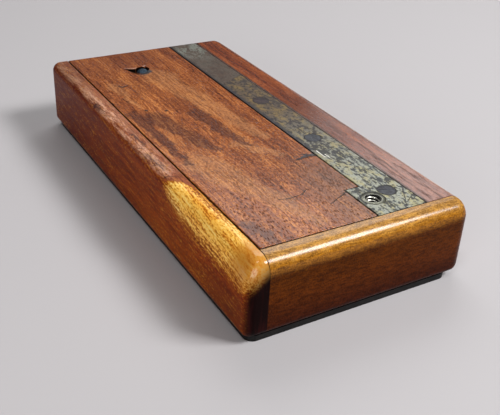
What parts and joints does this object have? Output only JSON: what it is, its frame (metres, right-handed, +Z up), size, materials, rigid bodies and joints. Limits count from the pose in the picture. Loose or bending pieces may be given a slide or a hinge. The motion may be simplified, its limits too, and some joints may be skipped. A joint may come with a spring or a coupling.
{
  "type": "wooden puzzle box",
  "caption": "Slim hardwood puzzle box with a sliding lid held by a hidden spring catch, an inlaid brass strip with a threaded bush, and a sliding strip end over a hidden well.",
  "frame": {"origin": "on the surface the box stands on, under the middle of the box", "axes": "+Z up, +Y along the box towards the end where the lid slides out, +X to the right, towards the side with the metal strip"},
  "size_m": [0.08, 0.166, 0.027],
  "materials": {
    "lid_wood": "worn satin varnish over open-pored red-brown hardwood",
    "side_wood": "glossy worn varnish over dark red-brown hardwood",
    "end_wood": "glossy worn varnish over golden brown hardwood",
    "inner_wood": "bare planed hardwood",
    "dowel_wood": "bare turned wood",
    "black_base": "black stain, worn satin",
    "aged_brass": "mottled yellow-green patina with dark spots",
    "bush_brass": "worn turned brass",
    "grey_metal": "dull grey-brown tarnish",
    "dark_steel": "dark oxidised steel",
    "blued_steel": "blued steel"
  },
  "bodies": {
    "case": {"left_side": "side_wood", "right_side": "side_wood", "near_end": "end_wood", "far_end": "side_wood", "base_board": "black_base", "base_screws": "dark_steel", "near_dowels": "dowel_wood", "far_dowels": "dowel_wood", "lock_rail": "inner_wood", "metal_strip": "aged_brass", "strip_screws": "dark_steel", "threaded_bush": "bush_brass", "catch_spring": "blued_steel", "spring_screws": "dark_steel"},
    "lid": {"lid_panel": "lid_wood", "button_keeper": "bush_brass", "keeper_screws": "bush_brass"},
    "stud": {"release_stud": "blued_steel"},
    "slide": {"slide_plate": "grey_metal", "slide_tee": "bush_brass"}
  },
  "joints": [
    {"name": "lid_slide", "type": "slide", "parent": "case", "child": "lid", "axis": [0, 1, 0], "range_m": [0, 0.125], "deforming": ["catch_spring"]},
    {"name": "stud_press", "type": "slide", "parent": "lid", "child": "stud", "axis": [0, 0, -1], "range_m": [0, 0.001], "stiffness_N_per_m": 500, "springref_m": -0.0006, "deforming": ["catch_spring"]},
    {"name": "strip_slide", "type": "slide", "parent": "case", "child": "slide", "axis": [0, 1, 0], "range_m": [0, 0.0305]}
  ]
}
